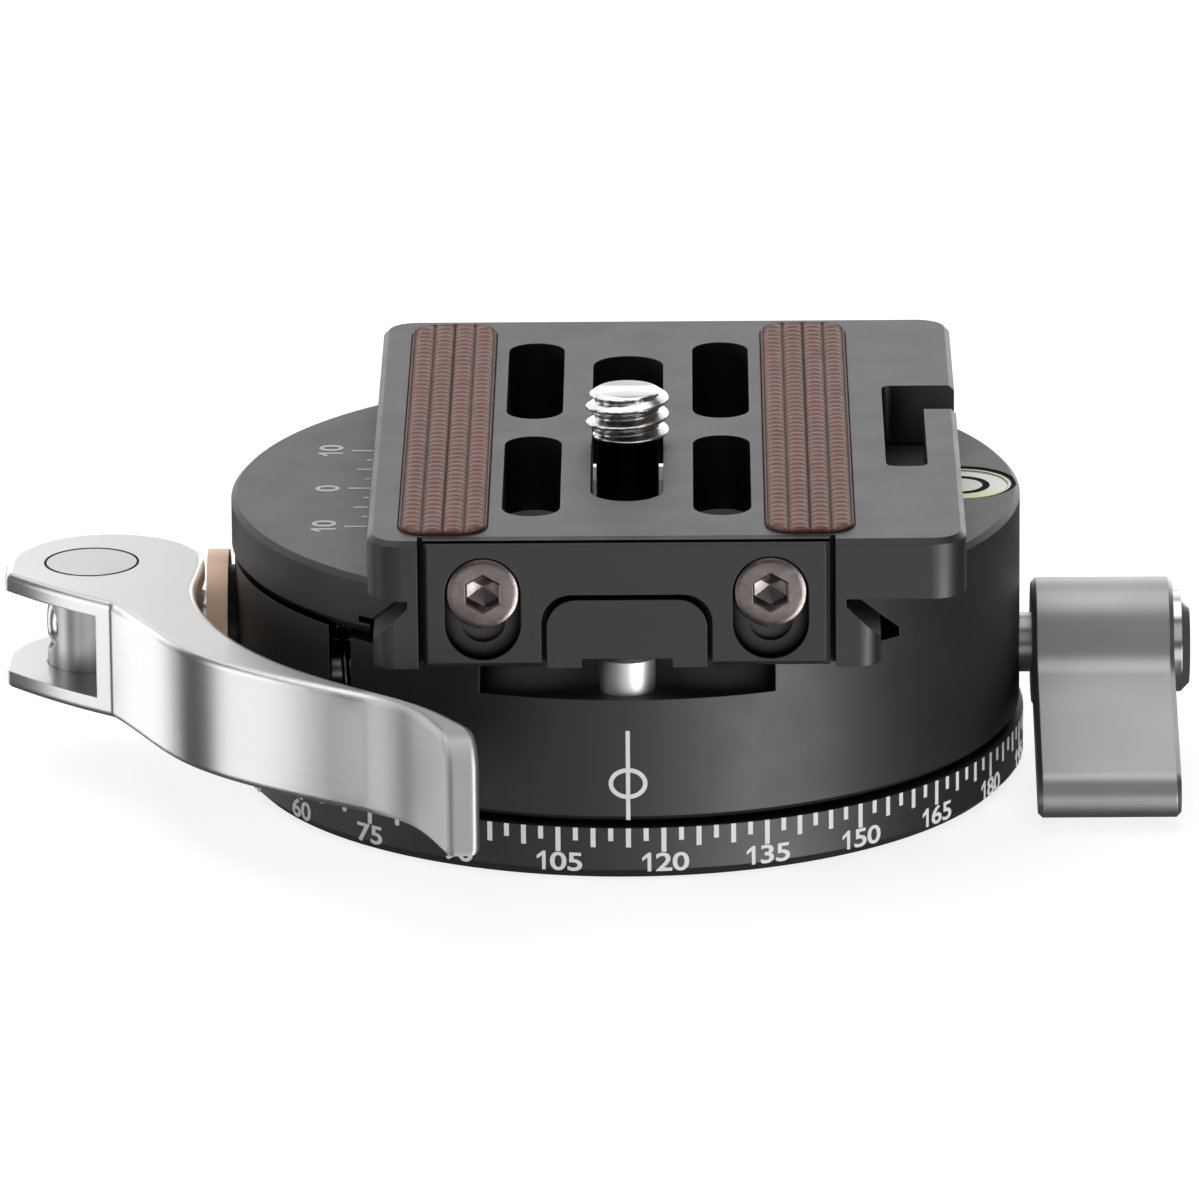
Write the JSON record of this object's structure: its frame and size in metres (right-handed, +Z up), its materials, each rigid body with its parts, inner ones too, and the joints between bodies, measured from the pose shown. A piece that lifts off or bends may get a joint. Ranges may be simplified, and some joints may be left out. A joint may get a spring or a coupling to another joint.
{
  "type": "panning clamp",
  "caption": "Rotating clamp for a camera plate: graduated base, dovetail jaws closed by a cam lever, pan lock knob, spirit level, and a slotted plate with a camera screw.",
  "frame": {"origin": "centre of the base's bottom face, on the pan axis", "axes": "+Z up along the pan axis; +X towards the fixed jaw and the pan lock knob; +Y along the dovetail channel, away from the stop pin and the side that the lever's tip reaches"},
  "size_m": [0.0914, 0.075, 0.0305],
  "materials": {
    "black_body": "black anodised over fine bead blasting",
    "black_base": "black anodised, turned, with a printed white dial",
    "black_plate": "black anodised, satin",
    "silver_lever": "brushed along its length, polished edges",
    "titanium_knob": "titanium-grey anodised over fine bead blasting",
    "bright_steel": "turned and polished",
    "plain_steel": "plain turned steel",
    "bronze": "plain bronze, satin",
    "brown_rubber": "ribbed, matt",
    "nylon": "plain nylon",
    "level_fluid": "pale yellow-green liquid",
    "level_bubble": "clear",
    "level_lens": "clear, with a printed black ring"
  },
  "bodies": {
    "base": {"base": "black_base", "glide_washer": "nylon", "retaining_disc": "plain_steel", "disc_screws": "plain_steel"},
    "pan_body": {"pan_body": "black_body", "hub_cap": "black_body", "tie_rod": "bright_steel", "lever_pin": "silver_lever", "return_springs": "plain_steel", "stop_pin_plug": "plain_steel", "stop_pin_spring": "plain_steel", "level_housing": "black_base", "level_fluid": "level_fluid", "level_bubble": "level_bubble", "level_lens": "level_lens"},
    "brake_shoe": {"brake_shoe": "bronze"},
    "pan_knob": {"pan_knob": "titanium_knob", "lock_spindle": "plain_steel", "knob_cap_screw": "bright_steel"},
    "clamp_lever": {"clamp_lever": "silver_lever"},
    "moving_jaw": {"moving_jaw": "black_body", "guide_pins": "plain_steel", "cam_pad": "bronze"},
    "stop_pin": {"stop_pin": "bright_steel"},
    "plate": {"plate": "black_plate", "pad_left": "brown_rubber", "pad_right": "brown_rubber", "flap_screws": "plain_steel"},
    "flap": {"flap": "black_plate"},
    "screw_slider": {"screw_slider": "black_plate"},
    "camera_screw": {"camera_screw": "bright_steel", "screw_head": "bright_steel"}
  },
  "joints": [
    {"name": "pan", "type": "hinge", "parent": "base", "child": "pan_body", "pos_m": [0, 0, 0], "axis": [0, 0, 1], "continuous": true},
    {"name": "knob_turn", "type": "hinge", "parent": "pan_body", "child": "pan_knob", "pos_m": [0.036, 0, 0.00885], "axis": [-1, 0, 0], "range_deg": [0, 90]},
    {"name": "brake_slide", "type": "slide", "parent": "pan_body", "child": "brake_shoe", "axis": [-1, 0, 0], "range_m": [0, 0.00021]},
    {"name": "lever_swing", "type": "hinge", "parent": "pan_body", "child": "clamp_lever", "pos_m": [-0.0415, 0, 0.01115], "axis": [0, 0, -1], "range_deg": [0, 150]},
    {"name": "jaw_slide", "type": "slide", "parent": "pan_body", "child": "moving_jaw", "axis": [-1, 0, 0], "range_m": [0, 0.0014]},
    {"name": "stop_pin_press", "type": "slide", "parent": "pan_body", "child": "stop_pin", "axis": [0, 0, -1], "range_m": [0, 0.0012], "stiffness_N_per_m": 300, "springref_m": -0.002, "deforming": ["stop_pin_spring"]},
    {"name": "plate_slide", "type": "slide", "parent": "pan_body", "child": "plate", "axis": [0, 1, 0], "range_m": [0, 0.02]},
    {"name": "flap_lift", "type": "slide", "parent": "plate", "child": "flap", "axis": [0, 0, 1], "range_m": [0, 0.0023]},
    {"name": "screw_slide", "type": "slide", "parent": "plate", "child": "screw_slider", "axis": [0, 1, 0], "range_m": [-0.0085, 0.0155]},
    {"name": "screw_turn", "type": "hinge", "parent": "screw_slider", "child": "camera_screw", "pos_m": [0, -0.0035, 0.026], "axis": [0, 0, 1], "continuous": true}
  ],
  "couplings": [
    {"joint": "brake_slide", "follows": "knob_turn", "m_per_rad": 0.00012732},
    {"joint": "jaw_slide", "follows": "lever_swing", "m_per_rad": 0.00053476}
  ]
}
